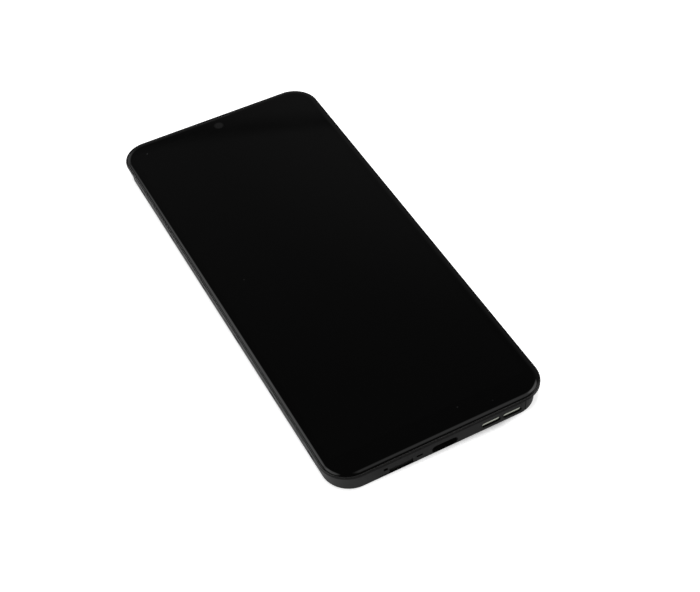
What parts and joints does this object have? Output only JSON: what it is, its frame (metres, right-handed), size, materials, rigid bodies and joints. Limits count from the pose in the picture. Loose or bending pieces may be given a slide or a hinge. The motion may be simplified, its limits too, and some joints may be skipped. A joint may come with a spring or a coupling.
{
  "type": "phone display assembly",
  "caption": "Flat phone display with rounded corners, bonded in an open-backed black frame with a thin rim, a charging socket hole and sound slots.",
  "frame": {"origin": "centre of the frame's outline, on the plane of the wall's foot", "axes": "+Z out of the cover glass, +Y to the front camera end, +X to the key side"},
  "size_m": [0.0758, 0.1676, 0.008],
  "materials": {
    "cover_glass": "gloss black-masked glass",
    "black_tape": "black foam tape",
    "clear_adhesive": "clear adhesive",
    "polariser_film": "dark polarising film",
    "panel_glass": "thin panel glass",
    "bare_chip": "bare silicon, dark mirror-like",
    "optical_film": "ribbed brightening film",
    "diffuser_film": "white diffusing film",
    "light_guide": "clear acrylic with print dots",
    "reflector_film": "silvered film",
    "light_body": "white body with yellow phosphor",
    "flex_film": "amber flexible circuit",
    "white_moulding": "white moulded plastic",
    "steel_tray": "thin bright steel sheet",
    "steel_stiffener": "thin steel sheet",
    "connector_body": "black connector housing",
    "grey_foam": "dark grey foam",
    "frame_plastic": "fine matt black moulding",
    "plate_metal": "dull die-cast light metal",
    "insert_brass": "knurled brass",
    "graphite": "dark grey graphite film",
    "clear_tape": "milky stretch tape",
    "conductive_fabric": "grey conductive fabric over foam",
    "fine_mesh": "dark woven metal mesh",
    "boot_rubber": "soft black rubber"
  },
  "bodies": {
    "root": {"cover_glass": "cover_glass", "glass_tape": "black_tape", "optical_adhesive": "clear_adhesive", "front_polariser": "polariser_film", "colour_filter_glass": "panel_glass", "array_glass": "panel_glass", "driver_chip": "bare_chip", "chip_shield_tape": "black_tape", "rear_polariser": "polariser_film", "panel_tape": "black_tape", "upper_prism_film": "optical_film", "lower_prism_film": "optical_film", "diffuser_film": "diffuser_film", "light_guide": "light_guide", "reflector_film": "reflector_film", "light_row": "light_body", "light_row_flex": "flex_film", "backlight_frame": "white_moulding", "backlight_tray": "steel_tray", "display_flex": "flex_film", "flex_stiffener": "steel_stiffener", "flex_connector": "connector_body", "display_cushion": "grey_foam", "frame_moulding": "frame_plastic", "mid_plate": "plate_metal", "threaded_inserts": "insert_brass", "graphite_sheet": "graphite", "battery_tape_left": "clear_tape", "battery_tape_right": "clear_tape", "ground_pads": "conductive_fabric", "camera_gasket": "grey_foam", "earpiece_mesh": "fine_mesh", "sensor_boot": "boot_rubber", "lower_microphone_mesh": "fine_mesh", "upper_microphone_mesh": "fine_mesh"}
  },
  "joints": []
}
